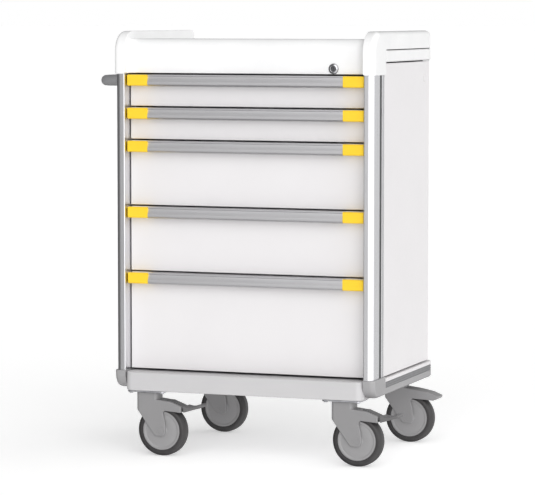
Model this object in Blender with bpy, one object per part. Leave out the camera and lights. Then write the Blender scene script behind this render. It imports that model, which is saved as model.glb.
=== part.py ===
"""Hospital crash cart: five drawers between two aluminium columns, on four swivel casters.

Metres, +Z up. The floor is z = 0. The row's origin is the bottom centre of the whole
cart's box, and every piece hangs from the empty `cabinet`, which stands on the floor
under the middle of the drawer fronts: x runs to the cart's right, y runs to its back.
"""

import math

import bmesh
import bpy
from mathutils import Vector

# Driving dimensions -------------------------------------------------------------------
DRAWER_MODULE = 0.080
DRAWER_UNITS = (1, 1, 2, 2, 3)
WHEEL_RADIUS = 0.0625
DRAWERS_BOTTOM = 0.208
DRAWERS_TOP = DRAWERS_BOTTOM + DRAWER_MODULE * sum(DRAWER_UNITS)
BASE_BOTTOM = 0.159
CART_TOP = 1.031
GAP = 0.0003

OPENING_HALF = 0.304
COLUMN_HALF = 0.327
COVER_HALF = 0.331
BASE_HALF = 0.332
FRONT_HALF = 0.302

COLUMN_FRONT = -0.035
BASE_FRONT = -0.040
COLUMN_REAR = 0.0542
PANEL_REAR = 0.419
COVER_REAR = 0.422
BASE_REAR = 0.453

HANDLE_REACH = 0.423
PEDAL_REACH = 0.140
CASTER_X = 0.250
CASTER_Y = (-0.010, 0.407)

# The box runs from the push handle to the front pedals, and from the base's front to its back.
CABINET_X = (HANDLE_REACH - CASTER_X - PEDAL_REACH) / 2
CABINET_Y = -(BASE_FRONT + BASE_REAR) / 2

# Base ---------------------------------------------------------------------------------
BASE_TOP = DRAWERS_BOTTOM - GAP
BASE_SIDE_BOTTOM = 0.163
BASE_FLOOR_TOP = 0.167
BASE_LIP_TOP = 0.2045
STRIP_LOW = 0.182
STRIP_HIGH = 0.195
STRIP_DEPTH = 0.004
STRIP_START = 0.056
BASE_CORNER = 0.030

# Cabinet ------------------------------------------------------------------------------
SHEET = 0.0015
PANEL_FLANGE = 0.012
PANEL_TOP = 0.955
GROOVE_LOW = 0.0180
GROOVE_HIGH = 0.0358
GROOVE_DEPTH = 0.0035
DECK_LOW = 0.948
RUNNER_X = 0.2970
RUNNER_FRONT = 0.0205
RUNNER_REAR = 0.400

# Top cover ----------------------------------------------------------------------------
COVER_WALL = 0.004
COVER_FRONT = -0.038
COVER_PANEL = -0.010
COVER_PANEL_BOTTOM = 0.930
COVER_SKIRT = 0.9565
SHELF_SLOT_TOP = 0.988
COVER_LIP = 1.013
WORKTOP = 1.006
REAR_LIP = 1.0085
COVER_CAVITY_TOP = WORKTOP - 0.005
EAR_RADIUS = 0.050
LIP_RADIUS = 0.025
LOCK_X = 0.221
LOCK_Z = 0.943

# Side shelf ---------------------------------------------------------------------------
SHELF_LOW = 0.9585
SHELF_HIGH = 0.9858
SHELF_INNER = -0.080

# Drawers ------------------------------------------------------------------------------
FRONT_GAP = 0.002
FRONT_THICKNESS = 0.018
RAIL_HEIGHT = 0.027
RAIL_FRONT = -0.025
RAIL_BACK = 0.0036
RAIL_HALF = 0.2484
BOX_HALF = 0.2855
BOX_REAR = 0.398
BOX_WALL = 0.0025
RIB_LOW = 0.0165
RIB_HIGH = 0.0215
RIB_HALF = 0.2962
LEDGE = 0.0015
LEDGE_TIP = 0.2910

# Push handle --------------------------------------------------------------------------
TUBE_RADIUS = 0.013
HANDLE_Z = 0.909
HANDLE_Y = (0.075, 0.380)
HANDLE_BEND = 0.036

# Casters ------------------------------------------------------------------------------
TRAIL = 0.0356
TYRE_SIDES = 36
HUB_SIDES = 24
AXLE_Z = WHEEL_RADIUS * math.cos(math.pi / TYRE_SIDES)
FORK_HALF = 0.0215
SLOT_HALF = 0.0172
SLOT_RADIUS = 0.0655
FORK_TOP = 0.1542
PLATE_LOW = 0.1557
PIVOT = (0.056, 0.131)

FINISHES = {
    "white_plastic": ((0.90, 0.90, 0.90), 0.35, 0.0),
    "white_steel": ((0.82, 0.81, 0.81), 0.40, 0.0),
    "light_grey_plastic": ((0.62, 0.62, 0.63), 0.45, 0.0),
    "dark_grey_plastic": ((0.18, 0.18, 0.19), 0.50, 0.0),
    "caster_grey": ((0.34, 0.34, 0.35), 0.50, 0.0),
    "hub_grey": ((0.38, 0.38, 0.39), 0.45, 0.0),
    "tyre_rubber": ((0.06, 0.06, 0.065), 0.60, 0.0),
    "satin_aluminium": ((0.70, 0.70, 0.72), 0.35, 1.0),
    "grey_tube": ((0.25, 0.25, 0.26), 0.40, 0.6),
    "yellow_plastic": ((1.00, 0.68, 0.04), 0.40, 0.0),
    "zinc_steel": ((0.60, 0.60, 0.62), 0.40, 1.0),
    "chrome": ((0.80, 0.80, 0.82), 0.15, 1.0),
}

ARC_STEP = math.radians(18)
PLACE = {
    "X": lambda u, v, w: (w, u, v),
    "Y": lambda u, v, w: (u, w, v),
    "Z": lambda u, v, w: (u, v, w),
}


# Tools --------------------------------------------------------------------------------
def clear_scene():
    for item in list(bpy.data.objects):
        bpy.data.objects.remove(item)


def finish(name):
    """The material of one finish, made the first time it is asked for."""
    made = bpy.data.materials.get(name)
    if made is None:
        colour, roughness, metallic = FINISHES[name]
        made = bpy.data.materials.new(name)
        made.use_nodes = True
        shader = made.node_tree.nodes["Principled BSDF"]
        shader.inputs["Base Color"].default_value = (*colour, 1.0)
        shader.inputs["Roughness"].default_value = roughness
        shader.inputs["Metallic"].default_value = metallic
    return made


def place(item, location):
    item.parent = bpy.data.objects["cabinet"]
    item.location = location
    return item


def make(name, bm, finish_name, location=(0, 0, 0)):
    """Turn a bmesh into a named object with smooth round faces."""
    bmesh.ops.recalc_face_normals(bm, faces=bm.faces)
    mesh = bpy.data.meshes.new(name)
    bm.to_mesh(mesh)
    bm.free()
    mesh.materials.append(finish(finish_name))
    mesh.shade_smooth()
    mesh.set_sharp_from_angle(angle=math.radians(35))
    item = bpy.data.objects.new(name, mesh)
    bpy.context.collection.objects.link(item)
    return place(item, location)


def combine(target, bm, operation):
    """Cut a shape from an object, join it on, or keep what both share."""
    tool = make(f"tool_{operation.lower()}_{target.name}", bm, "zinc_steel", target.location)
    tool.hide_render = True
    tool.display_type = "WIRE"
    modifier = target.modifiers.new(operation.lower(), "BOOLEAN")
    modifier.operation = operation
    modifier.solver = "EXACT"
    modifier.object = tool


def rounded(corners):
    """A polygon whose corners (u, v, radius) are turned into arcs where a radius is given."""
    points = []
    for index, (u, v, *radius) in enumerate(corners):
        corner = Vector((u, v))
        if not radius:
            points.append(corner)
            continue
        before = (Vector(corners[index - 1][:2]) - corner).normalized()
        after = (Vector(corners[(index + 1) % len(corners)][:2]) - corner).normalized()
        half = before.angle(after) / 2
        centre = corner + (before + after).normalized() * radius[0] / math.sin(half)
        start = corner + before * radius[0] / math.tan(half) - centre
        end = corner + after * radius[0] / math.tan(half) - centre
        sweep = math.atan2(start.x * end.y - start.y * end.x, start.dot(end))
        steps = max(1, math.ceil(abs(sweep) / ARC_STEP))
        for step in range(steps + 1):
            angle = math.atan2(start.y, start.x) + sweep * step / steps
            points.append(centre + radius[0] * Vector((math.cos(angle), math.sin(angle))))
    return points


def prism(corners, axis, low, high):
    """An outline with optional round corners, carried along one axis."""
    bm = bmesh.new()
    outline = rounded(corners)
    face = bm.faces.new([bm.verts.new(PLACE[axis](u, v, low)) for u, v in outline])
    carried = bmesh.ops.extrude_face_region(bm, geom=[face])["geom"]
    moved = [part for part in carried if isinstance(part, bmesh.types.BMVert)]
    bmesh.ops.translate(bm, verts=moved, vec=PLACE[axis](0, 0, high - low))
    return bm


def box(low, high):
    corners = [(low[0], low[1]), (high[0], low[1]), (high[0], high[1]), (low[0], high[1])]
    return prism(corners, "Z", low[2], high[2])


def rod(centre, radius, axis, low, high, sides=16):
    """A straight round bar; its centre is given in the plane across its axis."""
    angles = [2 * math.pi * (side + 0.5) / sides for side in range(sides)]
    outline = [(centre[0] + radius * math.cos(a), centre[1] + radius * math.sin(a)) for a in angles]
    return prism(outline, axis, low, high)


def turned(outline, sides):
    """A closed outline (y, radius) turned about the Y axis, with a flat at its lowest side."""
    bm = bmesh.new()
    rings = []
    for side in range(sides):
        angle = 2 * math.pi * (side + 0.5) / sides - math.pi / 2
        rings.append([bm.verts.new((r * math.cos(angle), y, r * math.sin(angle))) for y, r in outline])
    for side, ring in enumerate(rings):
        following = rings[(side + 1) % sides]
        for index in range(len(outline)):
            after = (index + 1) % len(outline)
            bm.faces.new((ring[index], ring[after], following[after], following[index]))
    return bm


def pan(low, high, axis, towards, wall):
    """A folded sheet: a box hollowed from one face, towards = 1 or -1 along its axis."""
    bm = box(low, high)
    direction = Vector(PLACE[axis](0, 0, towards))
    bmesh.ops.recalc_face_normals(bm, faces=bm.faces)
    mouth = [face for face in bm.faces if face.normal.dot(direction) > 0.9]
    bmesh.ops.inset_region(bm, faces=mouth, thickness=wall, use_even_offset=True)
    index = "XYZ".index(axis)
    depth = high[index] - low[index] - wall
    sunk = bmesh.ops.extrude_face_region(bm, geom=mouth)["geom"]
    bmesh.ops.delete(bm, geom=mouth, context="FACES_ONLY")
    moved = [part for part in sunk if isinstance(part, bmesh.types.BMVert)]
    bmesh.ops.translate(bm, verts=moved, vec=-direction * depth)
    return bm


def mirrored(corners, side):
    """An outline in X mirrored to the left when side is -1."""
    return [(side * u, *rest) for u, *rest in corners]


def span(side, inner, outer):
    """Low and high x of a stretch at one side of the cart."""
    return min(side * inner, side * outer), max(side * inner, side * outer)


# Base ---------------------------------------------------------------------------------
def build_base():
    """Moulded base: rounded side rims under the columns and a straight bar across the front."""
    side_profile = [
        (COVER_FRONT, BASE_TOP),
        (COVER_FRONT, BASE_SIDE_BOTTOM, 0.040),
        (BASE_REAR, BASE_SIDE_BOTTOM, 0.036),
        (BASE_REAR, 0.2035, 0.004),
        (COLUMN_REAR + 0.004, 0.2035),
        (COLUMN_REAR, BASE_TOP),
    ]
    base = make("base_tray", prism(side_profile, "X", -BASE_HALF, BASE_HALF), "light_grey_plastic")
    plan = [
        (-BASE_HALF, COVER_FRONT - 0.01, 0.012),
        (BASE_HALF, COVER_FRONT - 0.01, 0.012),
        (BASE_HALF, BASE_REAR, BASE_CORNER),
        (-BASE_HALF, BASE_REAR, BASE_CORNER),
    ]
    combine(base, prism(plan, "Z", 0.10, 0.25), "INTERSECT")
    bar = [
        (-OPENING_HALF, BASE_FRONT, 0.018),
        (OPENING_HALF, BASE_FRONT, 0.018),
        (OPENING_HALF, 0.440),
        (-OPENING_HALF, 0.440),
    ]
    combine(base, prism(bar, "Z", BASE_BOTTOM, BASE_LIP_TOP), "UNION")
    combine(base, box((-0.286, 0.020, BASE_FLOOR_TOP), (0.286, 0.396, 0.25)), "DIFFERENCE")
    gap_top = box((-OPENING_HALF, COVER_FRONT - 0.02, BASE_LIP_TOP), (OPENING_HALF, 0.020, 0.25))
    combine(base, gap_top, "DIFFERENCE")
    groove = strip_outline(STRIP_DEPTH + GAP, STRIP_START - GAP, 0.01)
    combine(base, prism(groove, "Z", STRIP_LOW - GAP, STRIP_HIGH + GAP), "DIFFERENCE")


def strip_outline(depth, start, proud):
    """U round the base's sides and back, from depth inside its face to proud of it."""
    out = BASE_HALF + proud
    back = BASE_REAR + proud
    inner = BASE_HALF - depth
    inner_back = BASE_REAR - depth
    return [
        (-out, start),
        (-out, back, BASE_CORNER + proud),
        (out, back, BASE_CORNER + proud),
        (out, start),
        (inner, start),
        (inner, inner_back, BASE_CORNER - depth),
        (-inner, inner_back, BASE_CORNER - depth),
        (-inner, start),
    ]


def build_bumper_strip():
    outline = strip_outline(STRIP_DEPTH, STRIP_START, 0.0)
    make("bumper_strip", prism(outline, "Z", STRIP_LOW, STRIP_HIGH), "dark_grey_plastic")


# Cabinet ------------------------------------------------------------------------------
def build_column(side, name):
    """Hollow extrusion with a round outer corner and a groove down its outer face."""
    groove_x = COLUMN_HALF - GROOVE_DEPTH
    outline = [
        (OPENING_HALF, COLUMN_FRONT, 0.002),
        (COLUMN_HALF, COLUMN_FRONT, 0.012),
        (COLUMN_HALF, GROOVE_LOW),
        (groove_x, GROOVE_LOW),
        (groove_x, GROOVE_HIGH),
        (COLUMN_HALF, GROOVE_HIGH),
        (COLUMN_HALF, COLUMN_REAR),
        (OPENING_HALF, COLUMN_REAR),
    ]
    low = DRAWERS_BOTTOM
    high = DRAWERS_TOP - GAP
    column = make(f"column_{name}", prism(mirrored(outline, side), "Z", low, high), "satin_aluminium")
    chamber = [
        (OPENING_HALF + 0.0025, COLUMN_FRONT + 0.003),
        (groove_x - 0.006, COLUMN_FRONT + 0.003, 0.004),
        (groove_x - 0.003, GROOVE_LOW - 0.020),
        (groove_x - 0.003, COLUMN_REAR - 0.003),
        (OPENING_HALF + 0.0025, COLUMN_REAR - 0.003),
    ]
    combine(column, prism(mirrored(chamber, side), "Z", low - 0.01, high + 0.01), "DIFFERENCE")
    x_low, x_high = span(side, groove_x + GAP, COLUMN_HALF - 0.0008)
    insert = box((x_low, GROOVE_LOW + GAP, low), (x_high, GROOVE_HIGH - GAP, high))
    make(f"column_insert_{name}", insert, "dark_grey_plastic")


def build_side_panel(side, name):
    x_low, x_high = span(side, COLUMN_HALF - 0.0005 - PANEL_FLANGE, COLUMN_HALF - 0.0005)
    low = (x_low, COLUMN_REAR + GAP, DRAWERS_BOTTOM)
    high = (x_high, PANEL_REAR, PANEL_TOP)
    make(f"side_panel_{name}", pan(low, high, "X", -side, SHEET), "white_steel")


def build_back_panel():
    half = COLUMN_HALF - 0.0005 - PANEL_FLANGE - GAP
    low = (-half, PANEL_REAR - PANEL_FLANGE, DRAWERS_BOTTOM)
    high = (half, PANEL_REAR, PANEL_TOP)
    make("back_panel", pan(low, high, "Y", -1, SHEET), "white_steel")


def build_runner_frame(side, name):
    """Upright plate with a pair of ledges for each drawer, which hold the drawer's rib."""
    corners = [(RUNNER_X + LEDGE, DRAWERS_BOTTOM)]
    corners.append((RUNNER_X, DRAWERS_BOTTOM))
    for bottom, _ in reversed(drawer_levels()):
        for low in (bottom + RIB_LOW - 0.0005 - LEDGE, bottom + RIB_HIGH + 0.0005):
            corners += [(RUNNER_X, low), (LEDGE_TIP, low)]
            corners += [(LEDGE_TIP, low + LEDGE), (RUNNER_X, low + LEDGE)]
    corners += [(RUNNER_X, DECK_LOW - GAP), (RUNNER_X + LEDGE, DECK_LOW - GAP)]
    outline = mirrored(corners, side)
    make(f"runner_frame_{name}", prism(outline, "Y", RUNNER_FRONT, RUNNER_REAR), "zinc_steel")


def build_top_deck():
    """Sheet under the side shelf, with a lip along each edge that guides the shelf."""
    front = 0.0582
    rear = 0.4065
    half = COLUMN_HALF - 0.0005 - PANEL_FLANGE - 2 * GAP
    lip = SHELF_LOW + 0.012
    outline = [
        (front, lip),
        (front, DECK_LOW),
        (rear, DECK_LOW),
        (rear, lip),
        (rear - SHEET, lip),
        (rear - SHEET, DECK_LOW + SHEET),
        (front + SHEET, DECK_LOW + SHEET),
        (front + SHEET, lip),
    ]
    make("top_deck", prism(outline, "X", -half, half), "zinc_steel")


# Top cover ----------------------------------------------------------------------------
def cover_section():
    """Side view of the top cover: a round front corner, and a skirt behind the columns."""
    return [
        (COVER_FRONT, DRAWERS_TOP),
        (COVER_FRONT, CART_TOP, EAR_RADIUS),
        (COVER_REAR, CART_TOP, 0.012),
        (COVER_REAR, COVER_SKIRT),
        (COLUMN_REAR, COVER_SKIRT),
        (COLUMN_REAR, DRAWERS_TOP),
    ]


def build_top_cover():
    """Middle of the moulded top: a recessed front rolled over into a tray with a low rear lip."""
    half = FRONT_HALF - GAP
    past = FRONT_HALF + 0.01
    cover = make("top_cover", prism(cover_section(), "X", -half, half), "white_plastic")
    recess = [
        (-FRONT_HALF, -0.06),
        (FRONT_HALF, -0.06),
        (FRONT_HALF, COVER_PANEL, 0.024),
        (-FRONT_HALF, COVER_PANEL, 0.024),
    ]
    combine(cover, prism(recess, "Z", 0.90, 1.10), "DIFFERENCE")
    tray = [
        (-0.06, COVER_LIP - LIP_RADIUS - 0.002),
        (COVER_PANEL - 0.0001, COVER_LIP - LIP_RADIUS - 0.002),
        (COVER_PANEL - 0.0001, COVER_LIP, LIP_RADIUS),
        (0.028, COVER_LIP),
        (0.034, WORKTOP),
        (0.404, WORKTOP),
        (0.408, REAR_LIP),
        (0.50, REAR_LIP),
        (0.50, 1.10),
        (-0.06, 1.10),
    ]
    combine(cover, prism(tray, "X", -past, past), "DIFFERENCE")
    inner = COVER_PANEL + COVER_WALL
    cavity = box((-past, inner, 0.90), (past, COVER_REAR - COVER_WALL, COVER_CAVITY_TOP))
    combine(cover, cavity, "DIFFERENCE")
    combine(cover, box((-past, -0.05, 0.90), (past, 0.06, COVER_PANEL_BOTTOM)), "DIFFERENCE")
    combine(cover, rod((LOCK_X, LOCK_Z), 0.0098, "Y", -0.03, 0.02), "DIFFERENCE")


def build_cover_ear(side, name):
    """One raised side of the moulded top, from the ear over its column to the back."""
    x_low, x_high = span(side, FRONT_HALF, COVER_HALF)
    ear = make(f"cover_ear_{name}", prism(cover_section(), "X", x_low, x_high), "white_plastic")
    front_view = [
        (-COVER_HALF, 0.90),
        (-COVER_HALF, CART_TOP, 0.012),
        (COVER_HALF, CART_TOP, 0.012),
        (COVER_HALF, 0.90),
    ]
    combine(ear, prism(front_view, "Y", -0.10, 0.50), "INTERSECT")
    rear = COVER_REAR - COVER_WALL
    combine(ear, box((-0.3265, 0.0575, 0.90), (0.3265, rear, COVER_CAVITY_TOP)), "DIFFERENCE")
    if side > 0:
        slot = box((0.29, COLUMN_REAR + 0.0015, 0.90), (0.35, rear, SHELF_SLOT_TOP))
        combine(ear, slot, "DIFFERENCE")


def build_side_shelf():
    """Pull-out shelf: a hollow board between the deck's lips and a wider outer edge."""
    low = (SHELF_INNER, 0.0605, SHELF_LOW)
    high = (COVER_HALF - 0.002, 0.4045, SHELF_HIGH)
    shelf = make("side_shelf", pan(low, high, "Z", -1, 0.003), "white_plastic")
    edge = box((COVER_HALF - 0.014, 0.0575, SHELF_LOW), (COVER_HALF, 0.4170, SHELF_HIGH))
    combine(shelf, edge, "UNION")


def build_lock():
    """Cam lock in the cover's front: a fixed body and a plug that turns in it."""
    location = (LOCK_X, 0, LOCK_Z)
    body = [
        (COVER_PANEL - 0.0045, 0.0066),
        (COVER_PANEL - 0.0045, 0.0110),
        (COVER_PANEL - 0.0030, 0.0127),
        (COVER_PANEL - GAP, 0.0127),
        (COVER_PANEL - GAP, 0.0094),
        (0.0170, 0.0094),
        (0.0170, 0.0066),
    ]
    make("lock_body", turned(body, 24), "chrome", location)
    plug = make("lock_plug", rod((0, 0), 0.0062, "Y", -0.0135, 0.0185), "chrome", location)
    combine(plug, box((-0.0035, 0.0182, -0.0035), (0.0190, 0.0205, 0.0035)), "UNION")
    combine(plug, box((-0.0008, -0.02, -0.0035), (0.0008, -0.010, 0.0035)), "DIFFERENCE")


def build_panel_plug():
    """Round cap over the spare handle fixing in the right side panel."""
    outer = COLUMN_HALF - 0.0005
    cap = rod((0.380, 0.913), 0.009, "X", outer + GAP, outer + 0.002)
    make("panel_plug", cap, "white_plastic")


# Push handle --------------------------------------------------------------------------
def build_push_handle():
    outer = COLUMN_HALF - 0.0005
    grip_x = HANDLE_REACH - TUBE_RADIUS
    flange_thick = 0.006
    root_x = outer + flange_thick + 2 * GAP
    route = [
        (-root_x, HANDLE_Y[0]),
        (-grip_x, HANDLE_Y[0], HANDLE_BEND),
        (-grip_x, HANDLE_Y[1], HANDLE_BEND),
        (-root_x, HANDLE_Y[1]),
    ]
    points = rounded(route)
    curve = bpy.data.curves.new("push_handle", "CURVE")
    curve.dimensions = "3D"
    curve.bevel_depth = TUBE_RADIUS
    curve.bevel_resolution = 2
    curve.use_fill_caps = True
    curve.materials.append(finish("grey_tube"))
    spline = curve.splines.new("POLY")
    spline.points.add(len(points) - 1)
    for point, (x, y) in zip(spline.points, points):
        point.co = (x, y, 0, 1)
    item = bpy.data.objects.new("push_handle", curve)
    bpy.context.collection.objects.link(item)
    place(item, (0, 0, HANDLE_Z))
    for y, name in zip(HANDLE_Y, ("front", "rear")):
        disc = rod((y, HANDLE_Z), 0.020, "X", -outer - GAP - flange_thick, -outer - GAP, 20)
        make(f"handle_flange_{name}", disc, "dark_grey_plastic")


# Drawers ------------------------------------------------------------------------------
def drawer_levels():
    """Bottom and top of each drawer's place, from the top drawer down."""
    levels = []
    top = DRAWERS_TOP
    for units in DRAWER_UNITS:
        bottom = top - units * DRAWER_MODULE
        levels.append((bottom, top))
        top = bottom
    return levels


def rail_front(top):
    """Front of the handle rail: a thin lip, a sloping hollow and a round nose below it."""
    return [
        (RAIL_FRONT + 0.006, top),
        (RAIL_FRONT + 0.003, top - 0.001),
        (RAIL_FRONT + 0.003, top - 0.003),
        (RAIL_FRONT + 0.005, top - 0.005),
        (RAIL_FRONT + 0.0037, top - 0.0115),
        (RAIL_FRONT, top - 0.0165),
        (RAIL_FRONT, top - 0.023),
        (RAIL_FRONT + 0.003, top - RAIL_HEIGHT),
    ]


def cap_front(top):
    """Front of a rail's end cap: one flat face over the rail's height with eased edges."""
    return [
        (RAIL_FRONT + 0.003, top),
        (RAIL_FRONT, top - 0.003),
        (RAIL_FRONT, top - 0.023),
        (RAIL_FRONT + 0.004, top - RAIL_HEIGHT),
    ]


def build_drawer(number, bottom, top):
    """Drawer box with its front, the handle rail hooked over the front and two end caps."""
    front_low = bottom + FRONT_GAP
    front_top = top - FRONT_GAP
    rail_low = front_top - RAIL_HEIGHT - GAP
    front = [
        (0, front_low),
        (0, rail_low),
        (RAIL_BACK + GAP, rail_low),
        (RAIL_BACK + GAP, front_top),
        (FRONT_THICKNESS, front_top),
        (FRONT_THICKNESS, front_low),
    ]
    drawer = make(f"drawer_{number}", prism(front, "X", -FRONT_HALF, FRONT_HALF), "white_steel")
    box_low = (-BOX_HALF, FRONT_THICKNESS - 0.002, bottom + 0.008)
    box_high = (BOX_HALF, BOX_REAR, top - 0.016)
    combine(drawer, pan(box_low, box_high, "Z", 1, BOX_WALL), "UNION")
    for side in (-1, 1):
        x_low, x_high = span(side, BOX_HALF - 0.001, RIB_HALF)
        rib = box((x_low, FRONT_THICKNESS + 0.001, bottom + RIB_LOW), (x_high, BOX_REAR, bottom + RIB_HIGH))
        combine(drawer, rib, "UNION")
    hook = rail_front(front_top)
    hook += [
        (-0.019, front_top - RAIL_HEIGHT),
        (-0.0165, front_top - 0.003),
        (0.0008, front_top - 0.003),
        (0.0008, front_top - RAIL_HEIGHT),
        (RAIL_BACK, front_top - RAIL_HEIGHT),
        (RAIL_BACK, front_top),
    ]
    make(f"handle_rail_{number}", prism(hook, "X", -RAIL_HALF, RAIL_HALF), "satin_aluminium")
    solid = cap_front(front_top) + [(RAIL_BACK, front_top - RAIL_HEIGHT), (RAIL_BACK, front_top)]
    for side, name in ((-1, "left"), (1, "right")):
        x_low, x_high = span(side, RAIL_HALF + GAP, FRONT_HALF)
        make(f"rail_cap_{name}_{number}", prism(solid, "X", x_low, x_high), "yellow_plastic")


# Casters ------------------------------------------------------------------------------
def fork_outline(braked):
    """Side view of a caster housing: neck, hood over the wheel and a leg down to the axle."""
    if braked:
        nose = [(0.0895, 0.1235, 0.003), (0.0885, 0.108, 0.003)]
    else:
        nose = [(0.092, 0.128, 0.020), (0.1145, 0.119, 0.003), (0.112, 0.113), (0.100, 0.1085)]
    return [
        (-0.0275, FORK_TOP),
        (-0.0275, 0.1150, 0.008),
        (TRAIL - 0.0150, AXLE_Z - 0.0130, 0.010),
        (TRAIL + 0.0135, AXLE_Z - 0.0130, 0.010),
        (TRAIL + 0.0120, AXLE_Z + 0.0200, 0.060),
        (0.0400, 0.1120, 0.004),
        *reversed(nose),
        (0.0600, 0.1345, 0.030),
        (0.0275, 0.1380, 0.003),
        (0.0275, FORK_TOP),
    ]


def build_caster(tag, x, y, braked):
    stem = (x, y, 0)
    axle = (x + TRAIL, y, AXLE_Z)

    sheet = box((-0.048, -0.029, PLATE_LOW), (0.048, 0.035, BASE_BOTTOM - GAP))
    plate = make(f"caster_plate_{tag}", sheet, "zinc_steel", stem)
    for bolt_x in (-0.040, 0.040):
        for bolt_y in (-0.021, 0.027):
            head = rod((bolt_x, bolt_y), 0.0045, "Z", PLATE_LOW - 0.003, PLATE_LOW + 0.001, 6)
            combine(plate, head, "UNION")
    combine(plate, rod((0, 0), 0.0095, "Z", 0.133, PLATE_LOW + 0.001, 12), "UNION")

    housing = prism(fork_outline(braked), "Y", -FORK_HALF, FORK_HALF)
    fork = make(f"caster_fork_{tag}", housing, "caster_grey", stem)
    wheel_room = rod((TRAIL, AXLE_Z), SLOT_RADIUS, "Y", -SLOT_HALF, SLOT_HALF, 28)
    combine(fork, wheel_room, "DIFFERENCE")
    combine(fork, rod((0, 0), 0.0102, "Z", 0.1315, FORK_TOP + 0.01, 12), "DIFFERENCE")
    combine(fork, rod((TRAIL, AXLE_Z), 0.0050, "Y", -SLOT_HALF - 0.001, SLOT_HALF + 0.001, 12), "UNION")

    hub_half = [
        (-0.0166, 0.0054),
        (-0.0166, 0.0120),
        (-0.0140, 0.0150),
        (-0.0140, 0.0400),
        (-0.0155, 0.0430),
        (-0.0155, 0.0475),
    ]
    hub = hub_half + [(-y_hub, r) for y_hub, r in reversed(hub_half)]
    make(f"caster_hub_{tag}", turned(hub, HUB_SIDES), "hub_grey", axle)
    tyre_half = [(-0.0160, 0.0480), (-0.0160, 0.0565), (-0.0115, 0.0610), (-0.0060, WHEEL_RADIUS)]
    tyre = tyre_half + [(-y_tyre, r) for y_tyre, r in reversed(tyre_half)]
    make(f"caster_tyre_{tag}", turned(tyre, TYRE_SIDES), "tyre_rubber", axle)
    if braked:
        build_pedal(tag, fork)


def build_pedal(tag, fork):
    """Brake pedal: a tongue in a slot of the hood, on a pin, with a wide paddle outside."""
    pivot_x, pivot_z = PIVOT
    slot = box((0.046, -0.0128, 0.1100), (0.110, 0.0128, 0.150))
    combine(fork, slot, "DIFFERENCE")
    combine(fork, rod(PIVOT, 0.0022, "Y", -0.0138, 0.0138, 10), "UNION")
    tongue = [
        (-0.0080, 0.0060, 0.002),
        (0.0050, 0.0055),
        (0.0345, -0.0070),
        (0.0450, -0.0085),
        (0.0450, -0.0150),
        (0.0260, -0.0155),
        (0.0140, -0.0115),
        (-0.0080, -0.0045, 0.002),
    ]
    paddle = [
        (0.0375, -0.0055, 0.002),
        (0.0550, -0.0095, 0.006),
        (PEDAL_REACH - pivot_x, 0.0005, 0.003),
        (PEDAL_REACH - pivot_x, -0.0090, 0.003),
        (0.0700, -0.0125, 0.010),
        (0.0375, -0.0225, 0.002),
    ]
    location = (fork.location.x + pivot_x, fork.location.y, pivot_z)
    pedal = make(f"brake_pedal_{tag}", prism(paddle, "Y", -0.0205, 0.0205), "dark_grey_plastic", location)
    combine(pedal, prism(tongue, "Y", -0.0122, 0.0122), "UNION")
    combine(pedal, rod((0, 0), 0.0026, "Y", -0.02, 0.02, 10), "DIFFERENCE")


def build_cart():
    clear_scene()
    cabinet = bpy.data.objects.new("cabinet", None)
    bpy.context.collection.objects.link(cabinet)
    cabinet.location = (CABINET_X, CABINET_Y, 0)

    build_base()
    build_bumper_strip()
    for side, name in ((-1, "left"), (1, "right")):
        build_column(side, name)
        build_side_panel(side, name)
        build_runner_frame(side, name)
        build_cover_ear(side, name)
    build_back_panel()
    build_top_deck()
    build_top_cover()
    build_side_shelf()
    build_lock()
    build_panel_plug()
    build_push_handle()
    for number, (bottom, top) in enumerate(drawer_levels(), start=1):
        build_drawer(number, bottom, top)
    for side, side_name in ((-1, "left"), (1, "right")):
        for y, end_name in zip(CASTER_Y, ("front", "rear")):
            build_caster(f"{end_name}_{side_name}", side * CASTER_X, y, end_name == "front")
    bpy.context.view_layer.update()


build_cart()
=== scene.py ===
import math

import bmesh
import bpy
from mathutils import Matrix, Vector


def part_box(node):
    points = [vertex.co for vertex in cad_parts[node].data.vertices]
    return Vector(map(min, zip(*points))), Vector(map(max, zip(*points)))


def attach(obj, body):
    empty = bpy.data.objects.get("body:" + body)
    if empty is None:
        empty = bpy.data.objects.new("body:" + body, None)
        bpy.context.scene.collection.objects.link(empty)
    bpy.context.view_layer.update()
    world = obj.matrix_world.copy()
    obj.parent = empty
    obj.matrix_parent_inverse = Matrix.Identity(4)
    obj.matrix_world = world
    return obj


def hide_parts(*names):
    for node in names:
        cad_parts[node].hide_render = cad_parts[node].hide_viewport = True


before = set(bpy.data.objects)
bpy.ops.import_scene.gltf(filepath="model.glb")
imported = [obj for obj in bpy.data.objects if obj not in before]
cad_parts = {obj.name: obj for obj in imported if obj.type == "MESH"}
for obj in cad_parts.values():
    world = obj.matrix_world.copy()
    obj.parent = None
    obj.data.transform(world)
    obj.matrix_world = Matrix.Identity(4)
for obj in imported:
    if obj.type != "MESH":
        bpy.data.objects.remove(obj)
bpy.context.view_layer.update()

# Places read from the frame -----------------------------------------------------------
COVER_NODES = ("cover_ear_left", "top_cover", "cover_ear_right")
COVER_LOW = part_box(COVER_NODES[0])[0]
COVER_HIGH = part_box(COVER_NODES[-1])[1]
HOME = Vector(((COVER_LOW.x + COVER_HIGH.x) / 2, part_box("drawer_1")[0].y, 0))


def room(node):
    """The box of a CAD node in the cabinet's own frame."""
    low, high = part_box(node)
    return low - HOME, high - HOME


FRONT_HALF = room("drawer_1")[1].x
COLUMN_REAR = room("column_right")[1].y
DRAWERS = [number for number in range(1, 10) if f"drawer_{number}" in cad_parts]
CASTERS = [
    name.removeprefix("caster_fork_")
    for name in sorted(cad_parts)
    if name.startswith("caster_fork_")
]
SIDES = ((-1, "left"), (1, "right"))

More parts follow.
